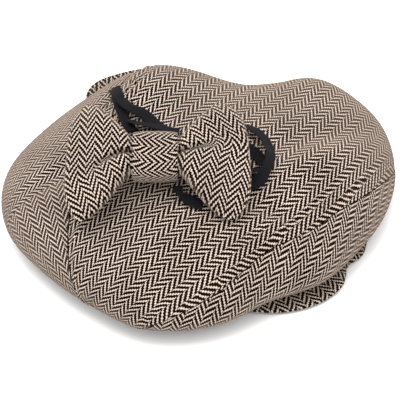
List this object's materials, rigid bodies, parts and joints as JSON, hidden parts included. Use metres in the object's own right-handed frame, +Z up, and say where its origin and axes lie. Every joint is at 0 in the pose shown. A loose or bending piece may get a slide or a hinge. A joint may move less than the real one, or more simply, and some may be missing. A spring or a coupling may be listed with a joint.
{
  "type": "deerstalker hat",
  "caption": "Soft wide tweed deerstalker resting on its rim, with front and rear peaks, ear flaps laid flat, and a tweed bow with black tapes on the crown.",
  "frame": {"origin": "middle of the hat's length and width, on the surface that it lies on", "axes": "+Z up, front peak towards -Y; left and right are as seen from the front, with right towards +X"},
  "size_m": [0.3008, 0.2835, 0.1143],
  "materials": {
    "crown_top": "rough herringbone wool",
    "crown_back": "rough herringbone wool",
    "crown_left": "rough herringbone wool",
    "crown_front": "rough herringbone wool",
    "head_band": "rough herringbone wool",
    "front_peak": "rough herringbone wool",
    "rear_peak": "rough herringbone wool",
    "ear_flap_right": "rough herringbone wool",
    "ear_flap_left": "rough herringbone wool",
    "bow_left": "rough herringbone wool",
    "bow_right": "rough herringbone wool",
    "bow_knot": "rough herringbone wool",
    "tape_end": "woven tape",
    "tape_fold": "woven tape",
    "tape_cross": "woven tape",
    "tape_loop": "woven tape",
    "tape_inner": "woven tape",
    "tape_back": "woven tape",
    "tape_low": "woven tape"
  },
  "bodies": {
    "root": {"crown_top": "crown_top", "crown_back": "crown_back", "crown_left": "crown_left", "crown_front": "crown_front", "head_band": "head_band", "front_peak": "front_peak", "rear_peak": "rear_peak", "ear_flap_right": "ear_flap_right", "ear_flap_left": "ear_flap_left", "bow_left": "bow_left", "bow_right": "bow_right", "bow_knot": "bow_knot", "tape_end": "tape_end", "tape_fold": "tape_fold", "tape_cross": "tape_cross", "tape_loop": "tape_loop", "tape_inner": "tape_inner", "tape_back": "tape_back", "tape_low": "tape_low"}
  },
  "joints": []
}
